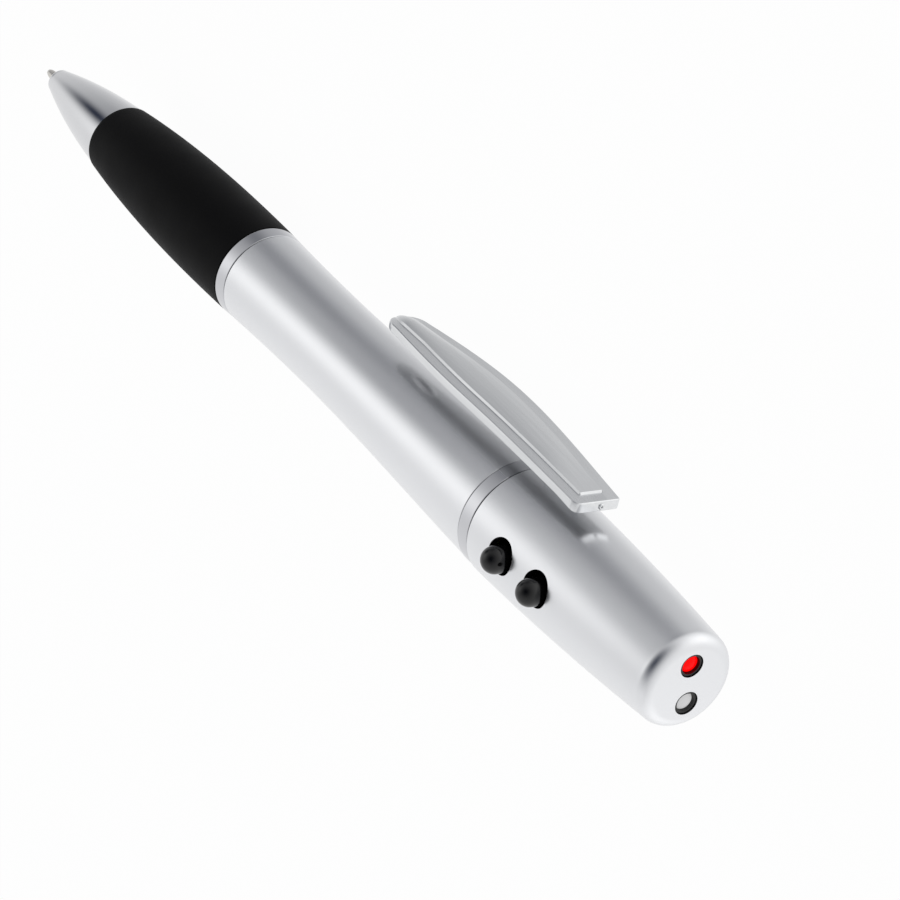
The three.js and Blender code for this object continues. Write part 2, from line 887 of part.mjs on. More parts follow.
// The black block behind the end wall holds the laser and the lamp, with a nozzle for each.
function endInsert() {
  const disc = rod(insertX, insertRearX, housingRearRadius - wall - fit, { facets: innerFacets });
  const nozzles = [lampOffset, -lampOffset].map((z) =>
    aroundAxis(rod(insertRearX - overrun, nozzleX, nozzleRadius, { z }), lampAzimuth),
  );
  const bores = [lampOffset, -lampOffset].map((z) =>
    aroundAxis(rod(insertX - overrun, endX, nozzleBore, { z }), lampAzimuth),
  );
  const pockets = [
    rod(insertX - overrun, laserRearX + play, laserRadius + fit, { z: lampOffset }),
    rod(insertX - overrun, lampX + lampFlangeHeight + seam, lampFlangeRadius + fit, { z: -lampOffset }),
  ].map((pocket) => aroundAxis(pocket, lampAzimuth));
  return joinAndCut(disc, { join: nozzles, cut: [...bores, ...pockets] });
}

function laserBarrel() {
  const barrel = tube(laserX, laserRearX, laserRadius - laserWall, laserRadius);
  return aroundAxis(barrel.translate(0, 0, lampOffset), lampAzimuth);
}

function laserDiode() {
  const canRadius = laserRadius - laserWall - fit;
  const flangeX = laserX - seam - diodeFlangeHeight;
  const can = turned([
    [flangeX, 0],
    [flangeX, laserRadius],
    [laserX - seam, laserRadius],
    [laserX - seam, canRadius],
    [laserX + diodeCanLength, canRadius],
    [laserX + diodeCanLength, 0],
  ]);
  return aroundAxis(can.translate(0, 0, lampOffset), lampAzimuth);
}

// The lens is seated in the module, and its stem carries the light to the end wall.
function laserLens() {
  const seatRadius = laserRadius - laserWall - fit;
  const stemRadius = nozzleBore - seam;
  const rear = laserRearX - lensInset;
  const steps = 4;
  const dome = [];
  for (let step = 0; step <= steps; step += 1) {
    const share = step / steps;
    dome.push([windowX - lensBulge * share ** 2, stemRadius * share]);
  }
  const lens = turned([
    [rear - lensThickness, 0],
    [rear - lensThickness, seatRadius],
    [rear, seatRadius],
    [rear, stemRadius],
    ...dome.reverse(),
  ]);
  return aroundAxis(lens.translate(0, 0, lampOffset), lampAzimuth);
}

// A round-nosed miniature lamp with a flange and two long leads towards the board.
function lamp() {
  const body = turned([
    [lampX, 0],
    [lampX, lampFlangeRadius],
    [lampX + lampFlangeHeight, lampFlangeRadius],
    [lampX + lampFlangeHeight, lampRadius],
    ...quarter([windowX - lampRadius, 0], lampRadius, { steps: 5 }).slice(0, -1),
    [windowX, 0],
  ]);
  const half = lampLeadSide / 2;
  const leads = [lampLeadPitch, -lampLeadPitch].map((pitch) =>
    block([boardRearX + play, pitch / 2 - half, -half], [lampX + half, pitch / 2 + half, half]),
  );
  const joined = joinAndCut(body, { join: leads });
  return aroundAxis(joined.translate(0, 0, -lampOffset), lampAzimuth);
}

addPiece("nose_cone", noseCone(), polishedMetal);
addPiece("grip_liner", gripLiner(), brass);
addPiece("rubber_grip", rubberGrip(), blackRubber);
addPiece("grip_ring", gripRing(), polishedMetal);
addPiece("lower_barrel", lowerBarrel(), satinSilver);
addPiece("centre_ring", centreRing(), polishedMetal);
addPiece("mechanism_sleeve", mechanismSleeve(), brass);
addPiece("refill_tip", refillTip(), steel);
addPiece("refill_tube", refillTube(), brass);
addPiece("refill_carrier", refillCarrier(), whitePlastic);
addPiece("cam_tube", camTube(), brass);
addPiece("drive_collar", driveCollar(), brass);
addPiece("cell_tube", cellTube(), brass);
addPiece("cell_spring", cellSpring(), steel);
for (let index = 0; index < cellCount; index += 1) addPiece(`cell_${index + 1}`, cell(index), steel);
addPiece("contact_block", contactBlock(), blackPlastic);
addPiece("contact_pin", contactPin(), brass);
addPiece("upper_housing", upperHousing(), satinSilver);
addPiece("circuit_board", circuitBoard(), boardGreen);
addPiece("front_switch", tactSwitch(frontButtonX), blackPlastic);
addPiece("rear_switch", tactSwitch(rearButtonX), blackPlastic);
addPiece("front_button", button(frontButtonX), blackGloss);
addPiece("rear_button", button(rearButtonX), blackGloss);
addPiece("laser_barrel", laserBarrel(), brass);
addPiece("laser_diode", laserDiode(), steel);
addPiece("laser_lens", laserLens(), clearGlass);
addPiece("lamp", lamp(), clearGlass);
addPiece("end_insert", endInsert(), blackPlastic);
addPiece("clip", clip(), brushedClip);

// The pen rolls until the clip's widest edge and the housing both touch the table.
const housingReach = Math.max(housingFrontRadius, ringRadius);
const cornerHeight = clipHeights.crest - clipEdge;
const cornerReach = Math.hypot(cornerHeight, clipHalfWidth);
const roll = Math.acos(housingReach / cornerReach) + Math.atan(clipHalfWidth / cornerHeight);
pen.rotation.x = roll - Math.PI;

// The frame's origin lies under the middle of the pen, on the table.
const part = new THREE.Group();
part.add(pen);
const box = new THREE.Box3().setFromObject(pen, true);
const middle = box.getCenter(new THREE.Vector3());
pen.position.set(-middle.x, -middle.y, -box.min.z);

export default part;
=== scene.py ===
# The looks of a twist-action pen with a laser pointer and a lamp in its end.
# Sizes are in millimetres. Stations run along the pen from the mouth of its nose cone,
# and the clip stands on the +Z side until a piece is laid in its place.
import json
import math

import bmesh
import bpy
from mathutils import Matrix, Vector


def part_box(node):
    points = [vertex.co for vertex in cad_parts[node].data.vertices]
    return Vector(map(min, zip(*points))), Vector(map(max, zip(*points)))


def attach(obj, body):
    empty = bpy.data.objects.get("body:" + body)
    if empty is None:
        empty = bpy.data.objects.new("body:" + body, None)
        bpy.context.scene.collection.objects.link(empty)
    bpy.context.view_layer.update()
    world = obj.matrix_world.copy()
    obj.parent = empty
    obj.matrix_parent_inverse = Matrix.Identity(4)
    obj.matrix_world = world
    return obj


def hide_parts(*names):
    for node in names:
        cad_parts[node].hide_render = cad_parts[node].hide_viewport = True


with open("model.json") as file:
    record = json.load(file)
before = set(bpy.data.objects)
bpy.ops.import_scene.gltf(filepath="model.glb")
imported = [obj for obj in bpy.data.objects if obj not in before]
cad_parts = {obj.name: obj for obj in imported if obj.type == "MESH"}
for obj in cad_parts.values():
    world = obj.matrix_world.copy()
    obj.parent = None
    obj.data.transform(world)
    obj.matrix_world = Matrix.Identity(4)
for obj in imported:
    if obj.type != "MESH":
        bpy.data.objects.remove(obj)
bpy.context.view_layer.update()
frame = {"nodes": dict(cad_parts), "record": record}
bpy.ops.object.select_all(action="DESELECT")

MM = 0.001
WHITE = (1, 1, 1, 1)

# Stations of the outer pieces.
GRIP_X = 15.86
GRIP_RING_X = 48.76
BARREL_X = 50.56
WAIST_X = 65.56
CENTRE_RING_X = 102.66
TWIST_X = 104.56
HOUSING_X = 104.76
END_X = 137.06

# Outer radii, and the slope of the outline where a smooth run starts and ends.
MOUTH_RADIUS = 1.55
CONE_REAR_RADIUS = 4.38
GRIP_FRONT_RADIUS = 4.5
GRIP_REAR_RADIUS = 5.83
BARREL_FRONT_RADIUS = 5.75
WAIST_RADIUS = 5.5
BARREL_REAR_RADIUS = 6.72
RING_RADIUS = 6.78
HOUSING_FRONT_RADIUS = 6.88
HOUSING_REAR_RADIUS = 5.7
END_ROUND = 1.5
CONE_SLOPES = (0.285, 0.095)
GRIP_SLOPES = (0.125, -0.02)
WAIST_SLOPES = (-0.035, 0.03)
HOUSING_SLOPES = (0, -0.075)
HOUSING_FRONT = (HOUSING_X, HOUSING_FRONT_RADIUS)
HOUSING_REAR = (END_X - END_ROUND, HOUSING_REAR_RADIUS)

# Bores, walls and seams.
WALL = 0.9
SEAM = 0.1
LINER_FIT_RADIUS = 4.1
CONE_BORE = 2.1
CONE_SPIGOT_RADIUS = 3.3
CONE_SPIGOT_LENGTH = 5
CONE_SEAT_LENGTH = 2.6
MOUTH_BORE = 0.9
MOUTH_DEPTH = 1.2
MOUTH_ROUND = 0.45
SHOULDER_X = 60.96
BARREL_BORE = 4.6
WIDE_BORE_X = 83.11
CELL_CLEARANCE_RADIUS = 4.85
SKIRT_LENGTH = 4.4
SKIRT_RADIUS = 5.2
SKIRT_FIT = 0.15
SKIRT_PLAY = 0.25
HOUSING_COLLAR_LENGTH = 1.9
HOUSING_COLLAR_BORE = 4.75
END_WALL = 1.2
# The radii between which the side's holes are cut. Other cutters run past what they cut by
# the overrun, and a form that is joined to another starts as deep inside it.
SIDE_CUT = (4, 9)
OVERRUN = 1

# Writing tip. Its lip and its collar lie behind the ball's middle: how far, and their radius.
TIP_REACH = 2.44
BALL_RADIUS = 0.38
BALL_OPENING = -12
BALL_LIP = (0.05, BALL_RADIUS * 1.12)
BALL_COLLAR = (0.35, BALL_RADIUS * 1.3)
TIP_NECK_RADIUS = 0.72
TIP_LENGTH = 4.3
TIP_PLUG_LENGTH = 2
REFILL_RADIUS = 1.18
REFILL_PLUG_RADIUS = 0.71

# Buttons.
BUTTON_STATIONS = {"front_button": 110.76, "rear_button": 117.41}
BUTTON_AZIMUTH = math.radians(-90)
BUTTON_HOLE_RADIUS = 2.08
BUTTON_HOLE_SHIFT = 0.34
BUTTON_RADIUS = 1.55
BUTTON_PROUD = 2.1
BUTTON_FLANGE_DROP = 1.65
BUTTON_FLANGE_HEIGHT = 0.5
BUTTON_FLANGE_RADIUS = 2.57
BUTTON_POST_RADIUS = 0.8
BUTTON_POST_FOOT = 2.4

# Laser, lamp and the block behind the end wall.
LAMP_AZIMUTH = math.radians(-8)
LAMP_OFFSET = 2.36
LAMP_HOLE_RADIUS = 1.4
INSERT_LENGTH = 7
INSERT_RADIUS = 4.65
NOZZLE_RADIUS = 1.3
NOZZLE_BORE = 1.1
NOZZLE_RECESS = 0.15
LASER_POCKET_RADIUS = 2.05
LAMP_POCKET_RADIUS = 1.4
NOZZLE_SEAT = 2.3
POCKET_PLAY = 0.25
WINDOW_INSET = 0.1
LENS_RADIUS = 1.35
LENS_STEM_RADIUS = 1
LENS_INSET = 0.8
LENS_THICKNESS = 1.1
LENS_BULGE = 0.25
LAMP_RADIUS = 1.05
LAMP_DOME = 0.4
LAMP_LENGTH = 4.4
LAMP_FLANGE_RADIUS = 1.25
LAMP_FLANGE_HEIGHT = 0.5
LEAD_SIDE = 0.5
LEAD_PITCH = 1.27
BOARD_REAR_X = 122.11

# Clip.
CLIP_REAR_X = 116
CLIP_LENGTH = 40.39
CLIP_SHOULDER = 0.93 * CLIP_LENGTH
CLIP_WIDEST = 0.52 * CLIP_LENGTH
CLIP_CREST = 0.48 * CLIP_LENGTH
CLIP_HALF_WIDTHS = (2.92, 3.78, 2.26)
CLIP_STANDS = (2.7, 3.74, 2.97)
CLIP_WIDTH_SLOPES = (0.045, -0.15)
CLIP_HEIGHT_SLOPES = (0.07, -0.07)
CLIP_THICKNESS = 1
CLIP_HEEL = 0.25
CLIP_HEEL_LENGTH = 4
CLIP_EDGE = 0.14
CLIP_NEAR_CORNER = 0.95
CLIP_FAR_CORNER = 0.3
CLIP_BORDER = 1.45
CLIP_STEP = 0.14
CLIP_RISE = 0.25
CLIP_CROWN = 0.2
CLIP_CROWN_RUN = 8
CLIP_CROWN_SHARES = (0.75, 0.5, 0.25)
CLIP_TIP_ROUND = 0.4
CLIP_FOOT_X = (107.36, 112.36)
CLIP_FOOT_HALF_WIDTH = 0.6
CLIP_SLOT_FIT = 0.03
CLIP_SLOT_PLAY = 0.15
CLIP_BARB_REACH = 0.4
CLIP_BARB_HEIGHT = 0.45
CLIP_BARB_PLAY = 0.25
BEAD_PLACE = 0.855 * CLIP_LENGTH
BEAD_SIZE = (5, 2.8, 1.6)
NUB_PLACE = 0.55
NUB_DROP = 0.66
NUB_RADIUS = 0.36
NUB_HEIGHT = 0.16
NUB_DIMPLE = 0.15
NUB_DIMPLE_FLOOR = 0.02

# Which faces are the near and rear part of the clip's rim, and which its underside, both of which
# get painted shade: how far they slope, how far to the far side they may lie and how high above
# the rim.
RIM_SLOPE = 0.9
RIM_FAR_SIDE = 1.4
RIM_LIMIT = CLIP_RISE / 4
UNDERSIDE_SLOPE = -0.3

# How wide the edges of each kind of piece are rounded.
EDGE = 0.07
SHELL_EDGE = 0.06
SMALL_EDGE = 0.05
GRIP_EDGE = 0.14
TIP_EDGE = 0.03

# Steps in a full turn, along each outline and in each rounding.
TURN_STEPS = 160
SMALL_STEPS = 72
NUB_STEPS = 32
BEAD_SEGMENTS = 40
BEAD_RINGS = 24
CONE_STEPS = 40
GRIP_STEPS = 70
BARREL_STEPS = (30, 60)
HOUSING_STEPS = 64
LINING_STEPS = 24
END_STEPS = 18
ROUND_STEPS = 8
CAP_STEPS = 20
LAMP_STEPS = 16
WINDOW_STEPS = 12
EDGE_STEPS = 3
LEAF_STEPS = 48
# Where the clip's first sections lie, as shares of its rear edge's rounding and then in
# millimetres, and its last ones, as angles of the curve of its tip.
LEAF_EDGE_SHARES = (0, 0.07, 0.28, 0.6, 1)
LEAF_CORNER_STATIONS = (0.2, 0.3, 0.42, 0.58, 0.76, 0.95)
LEAF_TIP_ANGLES = (10, 20, 30, 39, 47, 55, 62, 69, 75, 81, 85)

# An arc that ends on the axis stops a degree before it, and the next point closes it.
POLE_ANGLE = 89
# Edges sharper than the first angle are rounded, and edges flatter than the second are shaded
# smooth. Points nearer than the weld, in metres, become one.
SHARP_ANGLE = math.radians(32)
SMOOTH_ANGLE = math.radians(14.5)
WELD = 2e-7

# A mix node has a set of sockets for each kind of value. These are the ones for colours.
MIX_FACTOR = 0
MIX_A = 6
MIX_B = 7
MIX_RESULT = 2


def pen_place():
    """The pen's place, where it lies on its housing and on the widest edge of its clip."""
    crest = RING_RADIUS + CLIP_STANDS[1] - CLIP_EDGE
    widest = CLIP_HALF_WIDTHS[1]
    lean = math.acos(HOUSING_FRONT_RADIUS / math.hypot(crest, widest))
    roll = lean + math.atan(widest / crest)
    ring_low, ring_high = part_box("centre_ring")
    cone_low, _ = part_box("nose_cone")
    start = Vector((cone_low.x, (ring_low.y + ring_high.y) / 2, (ring_low.z + ring_high.z) / 2))
    return Matrix.Translation(start) @ Matrix.Rotation(roll - math.pi, 4, "X")


PEN_PLACE = pen_place()


def pick(piece):
    """Makes the piece the active one and the only one selected."""
    bpy.ops.object.select_all(action="DESELECT")
    piece.select_set(True)
    bpy.context.view_layer.objects.active = piece


def rename(piece, name):
    """Gives a piece and its mesh one name."""
    piece.name = name
    piece.data.name = name
    return piece


def start_point(name, x, y, z):
    """A new piece with one point, selected in edit mode."""
    bpy.ops.object.select_all(action="DESELECT")
    bpy.ops.mesh.primitive_plane_add(size=MM)
    piece = rename(bpy.context.object, name)
    bpy.ops.object.mode_set(mode="EDIT")
    bpy.ops.mesh.merge(type="CENTER")
    bpy.ops.transform.translate(value=(x * MM, y * MM, z * MM))
    return piece


def draw_line(points):
    """Extrudes the selected point along a line of (x, y, z) points that starts where it lies."""
    for start, end in zip(points, points[1:]):
        step = [(b - a) * MM for a, b in zip(start, end)]
        bpy.ops.mesh.extrude_region_move(TRANSFORM_OT_translate={"value": step})


def make_solid():
    """Welds what the open piece's operators left double and turns its faces outwards."""
    bpy.ops.mesh.select_all(action="SELECT")
    bpy.ops.mesh.remove_doubles(threshold=WELD)
    bpy.ops.mesh.normals_make_consistent(inside=False)
    bpy.ops.object.mode_set(mode="OBJECT")


def turned(name, outline, closed=True, steps=TURN_STEPS):
    """An outline of (station, radius) pairs, spun about the pen's axis."""
    ends = outline[:1] if closed else []
    points = [(x, 0, radius) for x, radius in [*outline, *ends]]
    piece = start_point(name, *points[0])
    draw_line(points)
    bpy.ops.mesh.select_all(action="SELECT")
    bpy.ops.mesh.spin(steps=steps, angle=math.tau, center=(0, 0, 0), axis=(1, 0, 0))
    make_solid()
    return piece


def modify(piece, kind, **settings):
    """Adds one modifier, sets it and applies it."""
    pick(piece)
    bpy.ops.object.modifier_add(type=kind)
    modifier = piece.modifiers[-1]
    for name, value in settings.items():
        setattr(modifier, name, value)
    bpy.ops.object.modifier_apply(modifier=modifier.name)


def soften(piece, width=EDGE):
    """Rounds the piece's sharp edges."""
    modify(
        piece,
        "BEVEL",
        width=width * MM,
        segments=EDGE_STEPS,
        limit_method="ANGLE",
        angle_limit=SHARP_ANGLE,
    )


def combine(piece, others, operation):
    """Cuts other pieces from this one, or joins them to it, and removes them."""
    for other in others:
        modify(
            piece,
            "BOOLEAN",
            operation=operation,
            object=other,
            solver="EXACT",
            material_mode="TRANSFER",
        )
        bpy.data.objects.remove(other)


def place(piece, matrix):
    """Moves a piece and leaves its place in its mesh."""
    pick(piece)
    piece.matrix_world = matrix @ piece.matrix_world
    bpy.ops.object.transform_apply(location=True, rotation=True, scale=True)
    return piece


def lay(piece, node, body, material=None):
    """Lays a finished piece in the pen's place, in the stead of a node."""
    place(piece, PEN_PLACE)
    bpy.ops.object.shade_smooth_by_angle(angle=SMOOTH_ANGLE)
    if material:
        piece.data.materials.clear()
        piece.data.materials.append(material)
    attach(piece, body)
    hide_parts(node)


def bow(start, slope_start, end, slope_end, steps):
    """A smooth run of an outline between two points, with the slopes it leaves and arrives at."""
    run = end[0] - start[0]
    points = []
    for step in range(steps + 1):
        t = step / steps
        x = start[0] + run * t
        points.append((x, bow_at(x, start, slope_start, end, slope_end)))
    return points


def bow_at(x, start, slope_start, end, slope_end):
    """The height of a smooth run at one place along it."""
    run = end[0] - start[0]
    t = (x - start[0]) / run
    leaving = (1 + 2 * t) * (1 - t) ** 2 * start[1] + t * (1 - t) ** 2 * run * slope_start
    return leaving + (3 - 2 * t) * t**2 * end[1] + (t - 1) * t**2 * run * slope_end


def arc(centre, radius, start, end, steps):
    """Points on an arc, from 0 degrees outwards to 90 degrees along the pen."""
    points = []
    for step in range(steps + 1):
        angle = math.radians(start + (end - start) * step / steps)
        points.append((centre[0] + radius * math.sin(angle), centre[1] + radius * math.cos(angle)))
    return points


class Wire:
    """A socket of a node tree that numbers and other sockets can be added to, and so on."""

    def __init__(self, tree, socket):
        self.tree = tree
        self.socket = socket

    def maths(self, operation, a, b):
        """The result of one sum of two numbers or sockets."""
        return self.tree.node("ShaderNodeMath", {"operation": operation}, {0: a, 1: b})

    def __add__(self, other):
        return self.maths("ADD", self, other)

    def __radd__(self, other):
        return self.maths("ADD", other, self)

    def __sub__(self, other):
        return self.maths("SUBTRACT", self, other)

    def __rsub__(self, other):
        return self.maths("SUBTRACT", other, self)

    def __mul__(self, other):
        return self.maths("MULTIPLY", self, other)

    def __rmul__(self, other):
        return self.maths("MULTIPLY", other, self)


class Tree:
    """A node tree that nodes are added to with their settings and the values of their sockets."""

    def __init__(self, tree):
        self.tree = tree
        tree.nodes.clear()

    def node(self, kind, settings=None, inputs=None, output=0):
        """One node, of which it gives back the named output, if it has any."""
        node = self.tree.nodes.new(kind)
        for name, value in (settings or {}).items():
            setattr(node, name, value)
        for name, value in (inputs or {}).items():
            if isinstance(value, Wire):
                self.tree.links.new(value.socket, node.inputs[name])
            else:
                node.inputs[name].default_value = value
        return Wire(self, node.outputs[output]) if node.outputs else node

    def mix(self, factor, a, b, clamped=True):
        """A colour between two others."""
        settings = {"data_type": "RGBA", "clamp_factor": clamped}
        inputs = {MIX_FACTOR: factor, MIX_A: a, MIX_B: b}
        return self.node("ShaderNodeMix", settings, inputs, output=MIX_RESULT)

    def coordinates(self, stretch):
        """Object coordinates in millimetres, squeezed along each axis."""
        metres = self.node("ShaderNodeTexCoord", output="Object")
        scale = [value / MM for value in stretch]
        return self.node("ShaderNodeMapping", inputs={"Vector": metres, "Scale": scale})

    def noise(self, scale, stretch=(1, 1, 1), detail=2):
        """Uneven values from 0 to 1, so many to the millimetre along each axis."""
        inputs = {"Vector": self.coordinates(stretch), "Scale": scale, "Detail": detail}
        return self.node("ShaderNodeTexNoise", inputs=inputs)

    def bump(self, height, strength, distance):
        """A surface that is uneven by a distance in millimetres."""
        inputs = {"Height": height, "Strength": strength, "Distance": distance * MM}
        return self.node("ShaderNodeBump", inputs=inputs)


def shade(colour, amount):
    """A colour made lighter or darker by one amount."""
    return tuple(min(channel * amount, 1) for channel in colour) + (1,)


def surface(name, build):
    """A material whose surface shader is made by a function of its tree."""
    material = bpy.data.materials.new(name)
    material.use_nodes = True
    tree = Tree(material.node_tree)
    tree.node("ShaderNodeOutputMaterial", inputs={"Surface": build(tree)})
    return material


def satin_silver(tree):
    """Silver lacquer: a fine metal grain under a thin clear coat."""
    colour = (0.872, 0.88, 0.9)
    grain = tree.noise(2.5, stretch=(0.5, 1, 1), detail=3)
    cloud = tree.noise(0.12)
    inputs = {
        "Base Color": tree.mix(grain, shade(colour, 0.98), shade(colour, 1.02)),
        "Metallic": 0.97,
        "Roughness": 0.21 + 0.03 * cloud + 0.02 * grain,
        "Coat Weight": 0.2,
        "Coat Roughness": 0.12,
    }
    return tree.node("ShaderNodeBsdfPrincipled", inputs=inputs)


def polished_metal(colour, roughness):
    """Plating with the faint rings that turning leaves."""

    def build(tree):
        rings = tree.noise(1, stretch=(26, 0.4, 0.4))
        inputs = {
            "Base Color": tree.mix(rings, shade(colour, 0.97), shade(colour, 1.02)),
            "Metallic": 1.0,
            "Roughness": roughness + 0.05 * rings,
            "Normal": tree.bump(rings, 0.05, 0.01),
        }
        return tree.node("ShaderNodeBsdfPrincipled", inputs=inputs)

    return build


def brushed_metal(colour, roughness):
    """Plating brushed lightly along the pen."""

    def build(tree):
        strokes = tree.noise(1, stretch=(0.12, 14, 14), detail=3)
        streaks = tree.noise(1, stretch=(0.05, 2.2, 2.2))
        inputs = {
            "Base Color": tree.mix(streaks, shade(colour, 0.93), shade(colour, 1.07)),
            "Metallic": 1.0,
            "Roughness": roughness + 0.12 * strokes,
            "Normal": tree.bump(strokes, 0.16, 0.01),
        }
        return tree.node("ShaderNodeBsdfPrincipled", inputs=inputs)

    return build


def black_rubber(tree):
    """Matte rubber with a fine, soft grain."""
    colour = (0.002, 0.002, 0.0023)
    grain = tree.noise(14, detail=3)
    cloud = tree.noise(0.25)
    inputs = {
        "Base Color": tree.mix(cloud, shade(colour, 0.85), shade(colour, 1.2)),
        "Roughness": 0.5 + 0.16 * cloud,
        "Specular IOR Level": 0.09,
        "Normal": tree.bump(grain, 0.2, 0.015),
    }
    return tree.node("ShaderNodeBsdfPrincipled", inputs=inputs)


def plastic(colour, roughness, coat=0.0):
    """Moulded plastic with a faint unevenness."""

    def build(tree):
        cloud = tree.noise(0.9)
        grain = tree.noise(16)
        inputs = {
            "Base Color": tree.mix(cloud, shade(colour, 0.9), shade(colour, 1.1)),
            "Roughness": roughness * (0.85 + 0.3 * cloud),
            "Coat Weight": coat,
            "Coat Roughness": 0.06,
            "Normal": tree.bump(grain, 0.04, 0.01),
        }
        return tree.node("ShaderNodeBsdfPrincipled", inputs=inputs)

    return build


def turned_metal(colour, roughness):
    """Bare turned metal with fine rings across its length."""

    def build(tree):
        rings = tree.noise(1, stretch=(18, 0.6, 0.6), detail=3)
        inputs = {
            "Base Color": tree.mix(rings, shade(colour, 0.88), shade(colour, 1.08)),
            "Metallic": 1.0,
            "Roughness": roughness + 0.12 * rings,
            "Normal": tree.bump(rings, 0.12, 0.01),
        }
        return tree.node("ShaderNodeBsdfPrincipled", inputs=inputs)

    return build


def clear_lens(tree):
    """Clear, slightly milky plastic, lit a little from within."""
    cloud = tree.noise(1.2)
    inputs = {
        "Base Color": tree.mix(cloud, (0.32, 0.32, 0.33, 1), (0.38, 0.38, 0.39, 1)),
        "Roughness": 0.25 + 0.1 * cloud,
        "Specular IOR Level": 0.2,
        "Emission Color": WHITE,
        "Emission Strength": 0.4,
    }
    return tree.node("ShaderNodeBsdfPrincipled", inputs=inputs)


def lit_lens(tree):
    """The laser's lens, red with its own light."""
    cloud = tree.noise(1.5)
    inputs = {
        "Base Color": tree.mix(cloud, (0.1, 0.0, 0.0, 1), (0.2, 0.002, 0.002, 1)),
        "Roughness": 0.3 + 0.1 * cloud,
        "Specular IOR Level": 0.1,
        "Emission Color": (1, 0.0, 0.0, 1),
        "Emission Strength": 1.0,
    }
    return tree.node("ShaderNodeBsdfPrincipled", inputs=inputs)


SATIN = surface("satin_silver", satin_silver)
POLISHED = surface("polished_metal", polished_metal((0.77, 0.775, 0.79), 0.07))
RING_METAL = surface("ring_metal", polished_metal((0.67, 0.675, 0.7), 0.04))
CLIP_METAL = surface("clip_chrome", brushed_metal((0.83, 0.84, 0.85), 0.18))
# Darker copies of the clip's metal, as painted shade: one for the near and rear part of its rim, one
# for its underside, which also darkens the clip's reflection in the barrel.
CLIP_RIM_SHADE = surface("clip_rim_painted_shade", brushed_metal((0.75, 0.76, 0.775), 0.2))
CLIP_UNDERSIDE_SHADE = surface("clip_underside_painted_shade", brushed_metal((0.46, 0.465, 0.475), 0.4))
RUBBER = surface("black_rubber", black_rubber)
GLOSS_BLACK = surface("gloss_black", plastic((0.003, 0.003, 0.0033), 0.15))
MATTE_BLACK = surface("matte_black", plastic((0.008, 0.008, 0.009), 0.42))
BRASS = surface("brass", turned_metal((0.78, 0.6, 0.28), 0.2))
STEEL = surface("steel", turned_metal((0.74, 0.72, 0.68), 0.3))
WHITE_PLASTIC = surface("white_plastic", plastic((0.8, 0.8, 0.77), 0.4))
BOARD = surface("board_green", plastic((0.03, 0.18, 0.07), 0.35, 0.3))
CLEAR = surface("clear_glass", clear_lens)
LASER_RED = surface("laser_red", lit_lens)
SLOT_MATERIALS = {
    "satin_silver": SATIN,
    "polished_metal": POLISHED,
    "clip_chrome": CLIP_METAL,
    "black_rubber": RUBBER,
    "gloss_black": GLOSS_BLACK,
    "matte_black": MATTE_BLACK,
    "brass": BRASS,
    "steel": STEEL,
    "white_plastic": WHITE_PLASTIC,
    "board_green": BOARD,
    "clear_glass": CLEAR,
    "red_lens": LASER_RED,
}


def make_nose():
    """The polished cone round the writing tip."""
    mouth = (MOUTH_ROUND, MOUTH_RADIUS - MOUTH_ROUND)
    front = (MOUTH_ROUND, MOUTH_RADIUS)
    skin = bow(front, CONE_SLOPES[0], (GRIP_X, CONE_REAR_RADIUS), CONE_SLOPES[1], CONE_STEPS)
    outline = [
        (0, MOUTH_BORE),
        *arc(mouth, MOUTH_ROUND, -90, 0, ROUND_STEPS),
        *skin[1:],
        (GRIP_X, CONE_SPIGOT_RADIUS),
        (GRIP_X + CONE_SPIGOT_LENGTH, CONE_SPIGOT_RADIUS),
        (GRIP_X + CONE_SPIGOT_LENGTH, CONE_BORE),
        (MOUTH_DEPTH + CONE_SEAT_LENGTH, CONE_BORE),
        (MOUTH_DEPTH, MOUTH_BORE),
    ]
    nose = turned("nose", outline)
    lay(nose, "nose_cone", "lower", POLISHED)


def make_writing_tip():
    """The refill's metal tip, with the ball set in its end."""
    ball_seat = -TIP_REACH + BALL_RADIUS
    outline = [
        *arc((ball_seat, 0), BALL_RADIUS, -90, BALL_OPENING, ROUND_STEPS),
        (ball_seat + BALL_LIP[0], BALL_LIP[1]),
        (ball_seat + BALL_COLLAR[0], BALL_COLLAR[1]),
        (0, TIP_NECK_RADIUS),
        (MOUTH_DEPTH, TIP_NECK_RADIUS),
        (TIP_LENGTH - REFILL_RADIUS, REFILL_RADIUS),
        (TIP_LENGTH, REFILL_RADIUS),
        (TIP_LENGTH, REFILL_PLUG_RADIUS),
        (TIP_LENGTH + TIP_PLUG_LENGTH, REFILL_PLUG_RADIUS),
        (TIP_LENGTH + TIP_PLUG_LENGTH, 0),
    ]
    tip = turned("writing_tip", outline, closed=False, steps=SMALL_STEPS)
    soften(tip, TIP_EDGE)
    lay(tip, "refill_tip", "refill", STEEL)


def make_grip():
    """The rubber sleeve, a little proud of the cone, with soft ends."""
    front = (GRIP_X + SEAM, GRIP_FRONT_RADIUS)
    rear = (GRIP_RING_X - SEAM, GRIP_REAR_RADIUS)
    skin = bow(front, GRIP_SLOPES[0], rear, GRIP_SLOPES[1], GRIP_STEPS)
    grip = turned("grip", [(front[0], LINER_FIT_RADIUS), *skin, (rear[0], LINER_FIT_RADIUS)])
    soften(grip, GRIP_EDGE)
    lay(grip, "rubber_grip", "lower", RUBBER)


def make_grip_band():
    """The narrow polished ring between rubber and barrel."""
    outline = [
        (GRIP_RING_X, LINER_FIT_RADIUS),
        (GRIP_RING_X, GRIP_REAR_RADIUS),
        (BARREL_X - SEAM, BARREL_FRONT_RADIUS),
        (BARREL_X - SEAM, LINER_FIT_RADIUS),
    ]
    band = turned("grip_band", outline)
    soften(band)
    lay(band, "grip_ring", "lower", RING_METAL)


